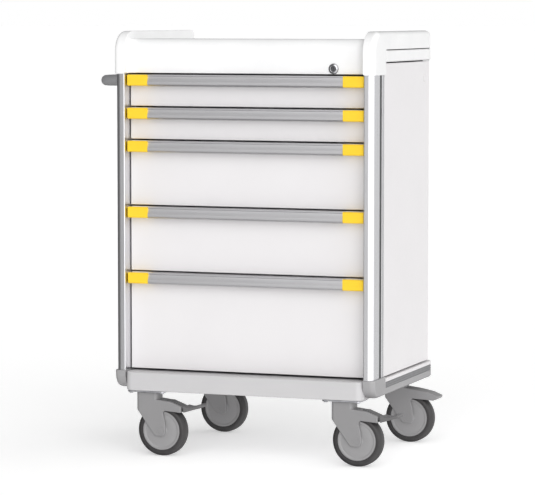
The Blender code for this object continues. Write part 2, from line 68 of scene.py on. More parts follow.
# Detail sizes -------------------------------------------------------------------------
GAP = 0.0003
ARC_STEP = math.radians(7.5)
SHARP = math.radians(28)
CORNER = 0.012

EAR_RADIUS = 0.050
EAR_EDGE = 0.0011
COVER_PANEL = -0.010
COVER_FILLET = 0.024
COVER_PANEL_BOTTOM = 0.930
COVER_SKIRT = 0.9565
COVER_LIP = 1.013
LIP_RADIUS = 0.025
WORKTOP = 1.006
REAR_LIP = 1.0085
TRAY_FILLET = 0.003
SHELF_SLOT_TOP = 0.988
SHELL_WALL = 0.004
CAVITY_HALF = 0.300
CAVITY_TOP = WORKTOP - 0.005
EAR_CAVITY_HALF = 0.3265
LOCK_HOLE = 0.0098
UNDERCUT = 0.0026
BELOW_COVER = 0.90
ABOVE_COVER = 1.10

SHELF_WALL = 0.003
SHELF_LIP = 0.014
SCOOP_Y = (0.150, 0.330)
SCOOP_DEPTH = 0.008
WRITING_MARGIN = 0.014
WRITING_SINK = 0.0010
WRITING_RADIUS = 0.010

BASE_STRIP_Z = (0.182, 0.195)
STRIP_DEPTH = 0.004
STRIP_START = COLUMN_REAR + 0.0018
BASE_SIDE_LOW = 0.163
BASE_TAPER = 0.45
BASE_LEDGE = 0.2035
BASE_REAR_RADIUS = 0.036
BASE_EAR_RADIUS = 0.040
BASE_CORNER = 0.030
BAR_CORNER = 0.018
BAR_REAR = 0.440
BAR_TOP = 0.2045
WELL_FLOOR = 0.167
WELL = ((-0.286, 0.020), (0.286, 0.396))
WELL_CORNER = 0.006
BELOW_BASE = 0.10
ABOVE_BASE = 0.25

GROOVE_Y = (0.0180, 0.0358)
GROOVE_DEPTH = 0.0035

FRONT_THICKNESS = 0.018
RAIL_BACK = 0.0036
LIP_REAR = 0.0060
TROUGH = 0.0022
BOX_HALF = 0.2855
BOX_WALL = 0.0025
BOX_LIFT = 0.006
BOX_DROP = 0.014
RIB_Z = (0.0145, 0.0195)
HANDLE_BEND = 0.036

AXLE_RADIUS = 0.005
SLOT_HALF = 0.0172
SLOT_RADIUS = 0.0655
SPIGOT_HOLE = 0.0102
SHOULDER = 0.1385
NECK_HALF = 0.0275
NECK_LOW = 0.1200
NECK_CORNER = 0.009
PEDAL_PIN = (0.056, 0.131)
SHEET_LOW = 0.1557
BOLTS_X = (-0.040, 0.040)
BOLTS_Y = (-0.021, 0.027)
HUB_BORE = 0.0054
HUB_BOSS = 0.0011
HUB_RADIUS = 0.0476
TYRE_BORE = 0.0480


# Mesh tools ---------------------------------------------------------------------------
PLACE = {
    "X": lambda u, v, w: Vector((w, u, v)),
    "Y": lambda u, v, w: Vector((u, w, v)),
    "Z": lambda u, v, w: Vector((u, v, w)),
}


def rounded(corners, step=ARC_STEP):
    """A polygon whose corners (u, v, radius) are turned into arcs where a radius is given."""
    points = []
    for index, (u, v, *radius) in enumerate(corners):
        corner = Vector((u, v))
        if not radius:
            points.append(corner)
            continue
        before = (Vector(corners[index - 1][:2]) - corner).normalized()
        after = (Vector(corners[(index + 1) % len(corners)][:2]) - corner).normalized()
        half = before.angle(after) / 2
        centre = corner + (before + after).normalized() * radius[0] / math.sin(half)
        start = corner + before * radius[0] / math.tan(half) - centre
        end = corner + after * radius[0] / math.tan(half) - centre
        sweep = math.atan2(start.x * end.y - start.y * end.x, start.dot(end))
        steps = max(1, math.ceil(abs(sweep) / step - 0.001))
        for index_step in range(steps + 1):
            angle = math.atan2(start.y, start.x) + sweep * index_step / steps
            points.append(centre + radius[0] * Vector((math.cos(angle), math.sin(angle))))
    return points


def oblong(low, high, near=(), far=()):
    """A rectangle's corners, with radii for the two at its low v and the two at its high v."""
    return [
        (low[0], low[1], *near),
        (high[0], low[1], *near),
        (high[0], high[1], *far),
        (low[0], high[1], *far),
    ]


def bow(start, control, end, steps=8):
    """Points along a quadratic curve, both ends left out."""
    start, control, end = Vector(start), Vector(control), Vector(end)
    shares = [step / steps for step in range(1, steps)]
    return [tuple(start * (1 - s) ** 2 + control * 2 * s * (1 - s) + end * s * s) for s in shares]


def loft(rings):
    """A closed skin over rings of points, with a cap at each end."""
    bm = bmesh.new()
    made = [[bm.verts.new(point) for point in ring] for ring in rings]
    for ring, following in zip(made, made[1:]):
        for index, vert in enumerate(ring):
            after = (index + 1) % len(ring)
            bm.faces.new((vert, ring[after], following[after], following[index]))
    bm.faces.new(made[0])
    bm.faces.new(made[-1])
    return bm


def prism(corners, axis, low, high):
    """An outline with optional round corners, carried along one axis."""
    outline = rounded(corners)
    return loft([[PLACE[axis](u, v, w) for u, v in outline] for w in (low, high)])


def box(low, high):
    return prism(oblong(low, high), "Z", low[2], high[2])


def circle(centre, radius, sides):
    angles = [2 * math.pi * side / sides for side in range(sides)]
    return [(centre[0] + radius * math.cos(a), centre[1] + radius * math.sin(a)) for a in angles]


def rod(centre, radius, axis, low, high, sides=40):
    return prism(circle(centre, radius, sides), axis, low, high)


def turned(outline, axis, centre=(0, 0), sides=64):
    """A closed outline (distance along the axis, radius) turned about an axis it may touch."""
    bm = bmesh.new()
    rings = []
    for side in range(sides):
        angle = 2 * math.pi * side / sides
        spots = [(centre[0] + r * math.cos(angle), centre[1] + r * math.sin(angle), w) for w, r in outline]
        rings.append([bm.verts.new(PLACE[axis](*spot)) for spot in spots])
    for side, ring in enumerate(rings):
        following = rings[(side + 1) % sides]
        for index, vert in enumerate(ring):
            after = (index + 1) % len(ring)
            if outline[index][1] > 0 or outline[after][1] > 0:
                bm.faces.new((vert, ring[after], following[after], following[index]))
    bmesh.ops.remove_doubles(bm, verts=bm.verts, dist=1e-7)
    return bm


def tube(path, radius, sides=32):
    """A round bar along a flat path of (x, y) points, at z = 0."""
    rings = []
    for index, (x, y) in enumerate(path):
        before = Vector(path[max(index - 1, 0)])
        after = Vector(path[min(index + 1, len(path) - 1)])
        along = (after - before).normalized()
        across = Vector((-along.y, along.x, 0))
        spokes = [2 * math.pi * side / sides for side in range(sides)]
        centre = Vector((x, y, 0))
        spread = [math.cos(a) * across + Vector((0, 0, math.sin(a))) for a in spokes]
        rings.append([centre + radius * offset for offset in spread])
    return loft(rings)


def eased(half, radius, steps=8):
    """Stations (x, inset) of a body along X whose two ends are rounded off."""
    angles = [math.pi / 2 * step / steps for step in range(steps + 1)]
    end = [(half - radius + radius * math.sin(a), radius * (1 - math.cos(a))) for a in angles]
    return [(-x, inset) for x, inset in reversed(end)] + end


def mirrored(corners, side):
    return [(side * u, *rest) for u, *rest in corners]


def span(side, inner, outer):
    return min(side * inner, side * outer), max(side * inner, side * outer)


# Solids -------------------------------------------------------------------------------
def solid(name, bm, at=HOME):
    bmesh.ops.recalc_face_normals(bm, faces=bm.faces)
    mesh = bpy.data.meshes.new(name)
    bm.to_mesh(mesh)
    bm.free()
    item = bpy.data.objects.new(name, mesh)
    item.location = at
    bpy.context.collection.objects.link(item)
    return item


def mesh_of(item):
    bm = bmesh.new()
    bm.from_mesh(item.data)
    return bm


def settle(item):
    """Turn an object's modifiers into its mesh."""
    graph = bpy.context.evaluated_depsgraph_get()
    mesh = bpy.data.meshes.new_from_object(item.evaluated_get(graph))
    item.modifiers.clear()
    worn = item.data
    item.data = mesh
    bpy.data.meshes.remove(worn)
    return item


def combine(item, bm, operation="DIFFERENCE"):
    """Cut a shape from an object, join it on, or keep what both share."""
    tool = solid("tool", bm, item.location)
    modifier = item.modifiers.new("combine", "BOOLEAN")
    modifier.operation = operation
    modifier.solver = "EXACT"
    modifier.object = tool
    settle(item)
    bpy.data.objects.remove(tool)
    return item


def soften(item, radius, segments=3):
    """Round off an object's sharp edges: radius is one size, or a rule of edge middle and convexity."""
    rule = radius if callable(radius) else lambda middle, convex: radius
    bm = bmesh.new()
    bm.from_mesh(item.data)
    bmesh.ops.remove_doubles(bm, verts=bm.verts, dist=1e-5)
    bmesh.ops.dissolve_limit(bm, angle_limit=math.radians(0.3), verts=bm.verts, edges=bm.edges)
    layer = bm.edges.layers.float.new("bevel_weight_edge")
    widths = {}
    for edge in bm.edges:
        if len(edge.link_faces) == 2 and edge.calc_face_angle() > SHARP:
            middle = (edge.verts[0].co + edge.verts[1].co) / 2
            widths[edge] = rule(middle, edge.is_convex)
    widest = max(widths.values(), default=0)
    for edge, width in widths.items():
        edge[layer] = width / widest
    bm.to_mesh(item.data)
    bm.free()
    modifier = item.modifiers.new("soften", "BEVEL")
    modifier.limit_method = "WEIGHT"
    modifier.width = widest
    modifier.segments = segments
    modifier.use_clamp_overlap = False
    return settle(item)


def shade(item):
    """Smooth shading that keeps flat faces flat."""
    item.data.shade_smooth()
    item.data.set_sharp_from_angle(angle=math.radians(38))
    modifier = item.modifiers.new("normals", "WEIGHTED_NORMAL")
    modifier.keep_sharp = True


def dress(item, look, body, slot, *nodes):
    """Finish a piece: its shading, material, body and the CAD nodes it stands for. The slot argument is
    not used.
    """
    shade(item)
    item.data.materials.clear()
    item.data.materials.append(look)
    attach(item, body)
    if nodes:
        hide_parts(*nodes)
    return item


def twin(item, name, at, body, slot, *nodes):
    """Another copy of a finished piece, in its own place and on its own body."""
    copy = bpy.data.objects.new(name, item.data)
    copy.location = at
    bpy.context.collection.objects.link(copy)
    modifier = copy.modifiers.new("normals", "WEIGHTED_NORMAL")
    modifier.keep_sharp = True
    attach(copy, body)
    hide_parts(*nodes)
    return copy


def dress_cad(node, look, fold):
    """Keep a CAD node, with folded edges and a finished material."""
    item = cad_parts[node]
    for index in range(len(item.material_slots)):
        item.material_slots[index].material = look
    modifier = item.modifiers.new("join", "WELD")
    modifier.merge_threshold = 1e-5
    modifier = item.modifiers.new("fold", "BEVEL")
    modifier.width = fold
    modifier.segments = 3
    modifier.limit_method = "ANGLE"
    modifier.angle_limit = SHARP
    modifier = item.modifiers.new("normals", "WEIGHTED_NORMAL")
    modifier.keep_sharp = True


# Materials ----------------------------------------------------------------------------
def tone(red, green, blue):
    """Linear colour of an 8-bit screen colour."""
    def linear(value):
        value /= 255
        return value / 12.92 if value <= 0.04045 else ((value + 0.055) / 1.055) ** 2.4
    return linear(red), linear(green), linear(blue), 1.0


class Finish:
    """A node material in the making, with a Principled shader and the object's coordinates."""

    def __init__(self, name, colour, roughness, metallic=0.0):
        self.material = bpy.data.materials.new(name)
        self.material.use_nodes = True
        self.tree = self.material.node_tree
        self.shader = self.tree.nodes["Principled BSDF"]
        self.where = self.tree.nodes.new("ShaderNodeTexCoord").outputs["Object"]
        self.set(**{"Base Color": colour, "Roughness": roughness, "Metallic": metallic})
        self.colour = colour
        self.roughness = roughness
        self.height = None

    def set(self, **values):
        for name, value in values.items():
            self.shader.inputs[name].default_value = value

    def link(self, source, target):
        self.tree.links.new(source, target)

    def noise(self, scale, detail=2.0, stretch=(1, 1, 1)):
        """Grain of about 1 / scale metres, drawn out along an axis by a small stretch value."""
        mapping = self.tree.nodes.new("ShaderNodeMapping")
        mapping.inputs["Scale"].default_value = stretch
        self.link(self.where, mapping.inputs["Vector"])
        texture = self.tree.nodes.new("ShaderNodeTexNoise")
        texture.inputs["Scale"].default_value = scale
        texture.inputs["Detail"].default_value = detail
        self.link(mapping.outputs["Vector"], texture.inputs["Vector"])
        return texture.outputs["Fac"]

    def cells(self, scale):
        texture = self.tree.nodes.new("ShaderNodeTexVoronoi")
        texture.inputs["Scale"].default_value = scale
        self.link(self.where, texture.inputs["Vector"])
        return texture.outputs["Color"]

    def spread(self, source, low, high, inner=(0.3, 0.7)):
        """Map a texture's middle range onto low to high."""
        node = self.tree.nodes.new("ShaderNodeMapRange")
        node.inputs["From Min"].default_value = inner[0]
        node.inputs["From Max"].default_value = inner[1]
        node.inputs["To Min"].default_value = low
        node.inputs["To Max"].default_value = high
        self.link(source, node.inputs["Value"])
        return node.outputs["Result"]

    def tint(self, source, other, low=0.0, high=1.0, inner=(0.3, 0.7)):
        """Blend the base colour towards another colour where the texture is high."""
        mix = self.tree.nodes.new("ShaderNodeMix")
        mix.data_type = "RGBA"
        current = self.shader.inputs["Base Color"]
        mix.inputs[6].default_value = self.colour
        if current.is_linked:
            self.link(current.links[0].from_socket, mix.inputs[6])
        mix.inputs[7].default_value = other
        self.link(self.spread(source, low, high, inner), mix.inputs["Factor"])
        self.link(mix.outputs[2], current)

    def gloss(self, source, change):
        """Vary the roughness by plus or minus change."""
        spread = self.spread(source, self.roughness - change, self.roughness + change)
        self.link(spread, self.shader.inputs["Roughness"])

    def relief(self, source, depth):
        """Raise the surface where the texture is high, by about depth metres."""
        node = self.tree.nodes.new("ShaderNodeBump")
        node.inputs["Strength"].default_value = 1.0
        node.inputs["Distance"].default_value = depth
        self.link(source, node.inputs["Height"])
        if self.height is not None:
            self.link(self.height, node.inputs["Normal"])
        self.height = node.outputs["Normal"]
        self.link(self.height, self.shader.inputs["Normal"])


def moulded(name, colour, roughness, shadow, grain=900, depth=0.00002):
    """Injection-moulded plastic: fine spark grain, faint flow clouds and scuffs."""
    finish = Finish(name, colour, roughness)
    finish.tint(finish.noise(9, 3), shadow, 0.0, 0.35)
    finish.tint(finish.noise(2600, 1), shadow, 0.0, 0.25, (0.45, 0.75))
    finish.gloss(finish.noise(45, 4), 0.05)
    finish.relief(finish.noise(grain, 2), depth)
    finish.set(**{"Specular IOR Level": 0.5})
    return finish.material


def painted(name, colour, roughness, shadow):
    """Powder-coated steel: orange peel under a thin gloss, with a few darker specks."""
    finish = Finish(name, colour, roughness)
    finish.tint(finish.noise(6, 2), shadow, 0.0, 0.3)
    finish.tint(finish.noise(1400, 1), shadow, 0.0, 0.3, (0.55, 0.8))
    finish.gloss(finish.noise(70, 3), 0.06)
    finish.relief(finish.noise(420, 2), 0.00005)
    finish.relief(finish.noise(1900, 1), 0.00001)
    finish.set(**{"Specular IOR Level": 0.35})
    return finish.material


def anodised(name, colour, roughness, shadow, along):
    """Satin anodised extrusion: die lines drawn out along its length."""
    finish = Finish(name, colour, roughness, 1.0)
    stretch = tuple(0.004 if axis == along else 1.0 for axis in "XYZ")
    fine = finish.noise(2800, 3, stretch)
    broad = finish.noise(420, 2, stretch)
    finish.tint(fine, shadow, 0.0, 0.45)
    finish.tint(broad, shadow, 0.0, 0.3)
    finish.gloss(fine, 0.07)
    finish.relief(fine, 0.000012)
    return finish.material


def plated(name, colour, roughness, shadow):
    """Zinc-plated steel: pale crystals of slightly different brightness."""
    finish = Finish(name, colour, roughness, 1.0)
    finish.tint(finish.cells(160), shadow, 0.0, 0.5, (0.2, 0.8))
    finish.gloss(finish.noise(300, 3), 0.08)
    finish.relief(finish.noise(900, 2), 0.00001)
    return finish.material


def polished(name, colour, roughness, shadow):
    """Chrome plate with hairline scratches."""
    finish = Finish(name, colour, roughness, 1.0)
    scratches = finish.noise(700, 3, (1.0, 0.2, 0.03))
    finish.tint(scratches, shadow, 0.0, 0.2, (0.55, 0.75))
    finish.gloss(scratches, 0.04)
    return finish.material


def rubber(name, colour, roughness, dust):
    """Tyre rubber: pores, and dust where it has rolled."""
    finish = Finish(name, colour, roughness)
    finish.tint(finish.noise(60, 4), dust, 0.0, 0.35, (0.45, 0.75))
    finish.tint(finish.noise(1500, 2), dust, 0.0, 0.2)
    finish.gloss(finish.noise(120, 3), 0.07)
    finish.relief(finish.noise(1300, 2), 0.00004)
    return finish.material


def build_looks():
    """Every material of the cart, by the name of what wears it."""
    return {
        "cover": moulded("cover_plastic", tone(245, 245, 245), 0.18, tone(230, 230, 231), 700, 0.000015),
        "drawer": painted("drawer_paint", tone(226, 224, 225), 0.48, tone(219, 217, 218)),
        "panel": painted("panel_paint", tone(222, 220, 221), 0.55, tone(216, 214, 215)),
        "inside": moulded("drawer_box_plastic", tone(222, 222, 222), 0.45, tone(212, 212, 213)),
        "base": moulded("base_plastic", tone(196, 195, 196), 0.42, tone(187, 186, 188)),
        "rim": moulded("rim_plastic", tone(159, 158, 159), 0.22, tone(149, 148, 150)),
        "strip": moulded("strip_plastic", tone(118, 118, 120), 0.50, tone(106, 106, 108)),
        "insert": moulded("insert_plastic", tone(66, 66, 68), 0.60, tone(58, 58, 60)),
        "column": anodised("column_aluminium", tone(226, 226, 228), 0.30, tone(208, 208, 211), "Z"),
        "rail": anodised("rail_aluminium", tone(222, 221, 223), 0.34, tone(204, 203, 206), "X"),
        "yellow": moulded("cap_yellow", tone(247, 208, 38), 0.38, tone(238, 194, 30)),
        "tube": moulded("handle_coat", tone(146, 146, 148), 0.36, tone(134, 134, 136), 500, 0.00003),
        "flange": moulded("flange_plastic", tone(92, 92, 94), 0.45, tone(82, 82, 84)),
        "caster": moulded("caster_plastic", tone(140, 139, 140), 0.42, tone(131, 130, 131)),
        "hub": moulded("hub_plastic", tone(148, 147, 148), 0.40, tone(139, 138, 139)),
        "pedal": moulded("pedal_plastic", tone(104, 103, 104), 0.42, tone(94, 93, 94)),
        "tyre": rubber("tyre_rubber", tone(44, 42, 43), 0.52, tone(70, 68, 68)),
        "zinc": plated("zinc_plate", tone(196, 196, 200), 0.38, tone(164, 164, 170)),
        "chrome": polished("chrome_plate", tone(168, 168, 171), 0.16, tone(120, 120, 124)),
        # The barrel's chrome is made darker than the bezel's: painted shade for the dark reflections in
        # the lock's centre.
        "barrel": polished("barrel_chrome_painted_dark", tone(116, 116, 119), 0.28, tone(88, 88, 92)),
    }


# Base ---------------------------------------------------------------------------------
def build_base(looks):
    """Moulded base: rounded side rims under the columns and a straight bar across the front."""
    low, high = room("base_tray")
    opening = room("column_right")[0].x
    ear_front = COVER_LOW.y - HOME.y

    def side_ring(x, inset):
        front = ear_front + inset
        bottom = BASE_SIDE_LOW + inset * BASE_TAPER
        corners = [
            (front, high.z),
            (front, bottom, BASE_EAR_RADIUS - inset),
            (high.y, bottom, BASE_REAR_RADIUS - inset * BASE_TAPER),
            (high.y, BASE_LEDGE),
            (COLUMN_REAR + 0.004, BASE_LEDGE),
            (COLUMN_REAR, high.z),
        ]
        return [PLACE["X"](y, z, x) for y, z in rounded(corners)]

    rim = solid("base_rim", loft([side_ring(x, inset) for x, inset in eased(high.x, CORNER)]))
    plan = [
        (low.x - 0.01, -0.10),
        (high.x + 0.01, -0.10),
        (high.x + 0.01, 0.20),
        (high.x, 0.21),
        (high.x, high.y, BASE_CORNER),
        (low.x, high.y, BASE_CORNER),
        (low.x, 0.21),
        (low.x - 0.01, 0.20),
    ]
    combine(rim, prism(plan, "Z", BELOW_BASE, ABOVE_BASE), "INTERSECT")
    half = opening + GAP / 2
    combine(rim, box((-half, ear_front - 0.02, BELOW_BASE), (half, BAR_REAR, ABOVE_BASE)))
    lip = solid("base_lip", mesh_of(rim))
    upper = ((-1, COLUMN_REAR, BASE_STRIP_Z[1] + GAP), (1, 1, 1))
    combine(lip, box(*upper), "INTERSECT")
    soften(lip, lambda middle, convex: 0.0012 if convex else 0.0)
    dress(lip, looks["panel"], "root", "panel_white", "base_tray")
    combine(rim, box(*upper))
    groove = strip_outline(high, STRIP_DEPTH + GAP, STRIP_START - GAP, 0.01)
    combine(rim, prism(groove, "Z", BASE_STRIP_Z[0] - GAP, BASE_STRIP_Z[1] + GAP))
    rear = high.y - BASE_CORNER

    def rim_edge(middle, convex):
        return 0.0010 if convex and (middle.y < rear or middle.z > 0.175) else 0.0

    soften(rim, rim_edge)
    dress(rim, looks["rim"], "root", "base_grey", "base_tray")

    half = opening - GAP / 2
    corners = oblong((-half, low.y), (half, BAR_REAR - GAP), near=(BAR_CORNER,))
    bar = solid("base_bar", prism(corners, "Z", low.z, BAR_TOP))
    soften(bar, lambda middle, convex: 0.0032 if middle.y < 0.40 else 0.001, 4)
    well = oblong(*WELL, (WELL_CORNER,), (WELL_CORNER,))
    combine(bar, prism(well, "Z", WELL_FLOOR, ABOVE_BASE))
    dress(bar, looks["base"], "root", "base_grey", "base_tray")


def strip_outline(high, depth, start, proud):
    """U round the base's sides and back, from depth inside its face to proud of it."""
    out = high.x + proud
    back = high.y + proud
    inner = high.x - depth
    inner_back = high.y - depth
    return [
        (-out, start),
        (-out, back, BASE_CORNER + proud),
        (out, back, BASE_CORNER + proud),
        (out, start),
        (inner, start),
        (inner, inner_back, BASE_CORNER - depth),
        (-inner, inner_back, BASE_CORNER - depth),
        (-inner, start),
    ]


def build_strip(looks):
    """Soft bumper strip let into the base, with two raised beads along it."""
    high = room("base_tray")[1]
    low_z, high_z = BASE_STRIP_Z
    band = strip_outline(high, STRIP_DEPTH, STRIP_START, -0.0009)
    strip = solid("bumper_band", prism(band, "Z", low_z, high_z))
    for bead in (low_z + 0.0035, high_z - 0.0035):
        ring = strip_outline(high, STRIP_DEPTH - 0.001, STRIP_START + 0.002, 0.0)
        combine(strip, prism(ring, "Z", bead - 0.0016, bead + 0.0016), "UNION")
    soften(strip, 0.0004, 2)
    dress(strip, looks["strip"], "root", "strip_grey", "bumper_strip")


# Cabinet ------------------------------------------------------------------------------
def build_column(looks, side, name):
    """Extruded post: a round outer corner, a lipped groove and a land at its rear."""
    low, high = room("column_right")
    groove_x = high.x - GROOVE_DEPTH
    outline = [
        (low.x, low.y, 0.0022),
        (high.x, low.y, CORNER),
        (high.x, GROOVE_Y[0], 0.0006),
        (groove_x, GROOVE_Y[0], 0.0004),
        (groove_x, GROOVE_Y[1], 0.0004),
        (high.x, GROOVE_Y[1], 0.0006),
        (high.x - 0.0006, high.y, 0.0010),
        (low.x, high.y, 0.0010),
    ]
    column = solid(f"post_{name}", prism(mirrored(outline, side), "Z", low.z, high.z))
    soften(column, lambda middle, convex: 0.0004 if convex else 0.0, 2)
    dress(column, looks["column"], "root", "column_aluminium", f"column_{name}")
    face = high.x - 0.0012
    insert = [
        (groove_x + GAP, GROOVE_Y[0] + GAP),
        (face, GROOVE_Y[0] + GAP, 0.0006),
        (face, GROOVE_Y[0] + 0.0040, 0.0006),
        (face - 0.0010, GROOVE_Y[0] + 0.0052, 0.0006),
        (face - 0.0010, GROOVE_Y[1] - 0.0052, 0.0006),
        (face, GROOVE_Y[1] - 0.0040, 0.0006),
        (face, GROOVE_Y[1] - GAP, 0.0006),
        (groove_x + GAP, GROOVE_Y[1] - GAP),
    ]
    bead = solid(f"post_insert_{name}", prism(mirrored(insert, side), "Z", low.z, high.z))
    dress(bead, looks["insert"], "root", "strip_grey", f"column_insert_{name}")


def build_back_screws(looks):
    """Pan-head screws that hold the back sheet along both edges."""
    low, high = room("back_panel")
    joined = bmesh.new()
    for side in (-1, 1):
        for share in (0.04, 0.36, 0.68, 0.96):
            centre = (side * (high.x - 0.016), low.z + share * (high.z - low.z))
            head = [
                (high.y - 0.0004, 0.0),
                (high.y - 0.0004, 0.0042),
                (high.y + 0.0008, 0.0042),
                (high.y + 0.0019, 0.0034),
                (high.y + 0.0024, 0.0018),
                (high.y + 0.0014, 0.0016),
                (high.y + 0.0014, 0.0),
            ]
            part = turned(head, "Y", centre, 24)
            mesh = bpy.data.meshes.new("screw")
            part.to_mesh(mesh)
            part.free()
            joined.from_mesh(mesh)
            bpy.data.meshes.remove(mesh)
    screws = solid("back_screws", joined)
    dress(screws, looks["zinc"], "root", "zinc_steel")


def build_plug(looks):
    """Domed cap over the spare handle fixing."""
    low, high = room("panel_plug")
    radius = (high.y - low.y) / 2
    centre = ((low.y + high.y) / 2, (low.z + high.z) / 2)
    outline = rounded([(low.x, 0.0), (low.x, radius), (high.x, radius, 0.0012), (high.x, 0.0)])
    plug = solid("side_cap", turned(outline, "X", centre, 48))
    dress(plug, looks["panel"], "root", "panel_white", "panel_plug")


# Top cover ----------------------------------------------------------------------------
def build_cover(looks):
    """Moulded top: two ears over the columns, a recessed front rolled over into a tray."""
    low, high = COVER_LOW - HOME, COVER_HIGH - HOME
    inner = FRONT_HALF

    def shell_ring(x, inset):
        corners = [
            (low.y + inset, low.z),
            (low.y + inset, high.z - inset, EAR_RADIUS - inset),
            (high.y - inset, high.z - inset, CORNER + 0.002 - inset),
            (high.y - inset, COVER_SKIRT),
            (COLUMN_REAR, COVER_SKIRT),
            (COLUMN_REAR, low.z),
        ]
        return [PLACE["X"](y, z, x) for y, z in rounded(corners)]

    cover = solid("cover", loft([shell_ring(x, inset) for x, inset in eased(high.x, CORNER, 10)]))

    def run_out(x, radius):
        """How far a fillet of that radius has risen at x, next to the ear's inner wall."""
        reach = max(0.0, abs(x) - (inner - radius))
        return radius - math.sqrt(max(0.0, radius * radius - reach * reach))

    def recess_ring(x):
        face = COVER_PANEL - run_out(x, COVER_FILLET)
        lift = run_out(x, TRAY_FILLET)
        corners = [
            (-0.06, BELOW_COVER),
            (face, BELOW_COVER),
            (face, COVER_LIP + lift, LIP_RADIUS),
            (0.028, COVER_LIP + lift, 0.004),
            (0.035, WORKTOP + lift, 0.004),
            (0.404 - lift, WORKTOP + lift, 0.004),
            (0.408 - lift, REAR_LIP + lift, 0.001),
            (0.50, REAR_LIP + lift),
            (0.50, ABOVE_COVER),
            (-0.06, ABOVE_COVER),
        ]
        return [PLACE["X"](y, z, x) for y, z in rounded(corners)]

    turns = [math.pi / 2 * step / 12 for step in range(13)]
    reach = {round(inner - COVER_FILLET + COVER_FILLET * math.sin(a), 6) for a in turns}
    reach |= {round(inner - TRAY_FILLET + TRAY_FILLET * math.sin(a), 6) for a in turns[::3]}
    stations = [-x for x in sorted(reach, reverse=True)] + sorted(reach)
    combine(cover, loft([recess_ring(x) for x in stations]))

    rear_in = high.y - SHELL_WALL
    cavity = [
        (COVER_PANEL + SHELL_WALL, BELOW_COVER),
        (COVER_PANEL + SHELL_WALL, 0.984),
        (0.012, CAVITY_TOP),
        (rear_in, CAVITY_TOP),
        (rear_in, BELOW_COVER),
    ]
    combine(cover, prism(cavity, "X", -CAVITY_HALF, CAVITY_HALF))
    under = inner + UNDERCUT
    combine(cover, box((-under, -0.05, BELOW_COVER), (under, 0.06, COVER_PANEL_BOTTOM)))
    ear_low = (-EAR_CAVITY_HALF, 0.0575, BELOW_COVER)
    combine(cover, box(ear_low, (EAR_CAVITY_HALF, rear_in, CAVITY_TOP)))
    slot_low = (0.29, COLUMN_REAR + 0.0015, BELOW_COVER)
    combine(cover, box(slot_low, (0.35, rear_in, SHELF_SLOT_TOP)))
    lock_low, lock_high = room("lock_body")
    lock_at = ((lock_low.x + lock_high.x) / 2, (lock_low.z + lock_high.z) / 2)
    combine(cover, rod(lock_at, LOCK_HOLE, "Y", -0.03, 0.02))

    soften(cover, lambda middle, convex: EAR_EDGE if convex else 0.0)
    dress(cover, looks["cover"], "root", "cover_white", *COVER_NODES)


def build_shelf(looks):
    """Pull-out shelf: a hollow board with a sunk writing surface and a finger lip."""
    low, high = room("side_shelf")
    front, rear = low.y + 0.003, high.y - 0.0125
    board = [
        (low.x, low.z),
        (low.x, high.z, 0.002),
        (high.x - 0.002, high.z),
        (high.x - 0.002, low.z),
    ]
    shelf = solid("shelf", prism(board, "Y", front, rear))
    hollow_low = (low.x + SHELF_WALL, front + SHELF_WALL, BELOW_COVER)
    hollow_high = (high.x - SHELF_LIP - SHELF_WALL, rear - SHELF_WALL, high.z - SHELF_WALL)
    combine(shelf, box(hollow_low, hollow_high))
    edge = [
        (high.x - SHELF_LIP, low.z),
        (high.x - SHELF_LIP, high.z),
        (high.x, high.z, 0.004),
        (high.x, low.z, 0.004),
    ]
    combine(shelf, prism(edge, "Y", low.y, high.y), "UNION")
    scoop_in, scoop_out = high.x - SHELF_LIP - 0.0005, high.x - 0.005
    scoop = [
        (scoop_in, BELOW_COVER),
        (scoop_in, low.z + SCOOP_DEPTH, 0.004),
        (scoop_out, low.z + SCOOP_DEPTH, 0.004),
        (scoop_out, BELOW_COVER),
    ]
    combine(shelf, prism(scoop, "Y", *SCOOP_Y))
    sunk_low = (low.x + 0.020, front + WRITING_MARGIN)
    sunk_high = (high.x - 0.024, rear - WRITING_MARGIN)
    sunk = oblong(sunk_low, sunk_high, (WRITING_RADIUS,), (WRITING_RADIUS,))
    combine(shelf, prism(sunk, "Z", high.z - WRITING_SINK, high.z + 0.01))
    soften(shelf, lambda middle, convex: 0.0006 if convex else 0.0)
    dress(shelf, looks["cover"], "side_shelf", "cover_white", "side_shelf")


def build_lock(looks):
    """Cam lock: a chrome bezel and barrel, and the plug with its keyway and cam. The barrel's chrome is
    made darker as painted shade for the dark reflections in the lock's centre.
    """
    low, high = room("lock_body")
    at = HOME + Vector(((low.x + high.x) / 2, 0, (low.z + high.z) / 2))
    radius = (high.x - low.x) / 2
    body = rounded([
        (low.y + 0.0010, 0.0066),
        (low.y, 0.0076, 0.0005),
        (low.y + 0.0013, radius - 0.0014, 0.0030),
        (COVER_PANEL - GAP - 0.0008, radius),
        (COVER_PANEL - GAP, radius),
        (COVER_PANEL - GAP, 0.0094),
        (high.y, 0.0094),
        (high.y, 0.0066),
    ])
    bezel = solid("lock_bezel", turned(body, "Y", sides=72), at)
    dress(bezel, looks["chrome"], "root", "chrome", "lock_body")
    face = room("lock_plug")[0].y
    sunk = face + 0.0007
    barrel = rounded([
        (sunk, 0.0),
        (sunk, 0.0042),
        (face, 0.0046),
        (face, 0.0062, 0.0006),
        (0.0185, 0.0062),
        (0.0185, 0.0),
    ])
    plug = solid("lock_barrel", turned(barrel, "Y", sides=48), at)
    cam = [(-0.0035, -0.0035), (0.0190, -0.0035, 0.0030), (0.0190, 0.0035, 0.0030), (-0.0035, 0.0035)]
    combine(plug, prism(cam, "Y", 0.0182, 0.0205), "UNION")
    combine(plug, box((-0.0008, face - 0.01, -0.0034), (0.0008, face + 0.005, 0.0034)))
    # Darker chrome on the barrel: painted shade for the dark reflections in the lock's centre.
    dress(plug, looks["barrel"], "lock_plug", "chrome", "lock_plug")


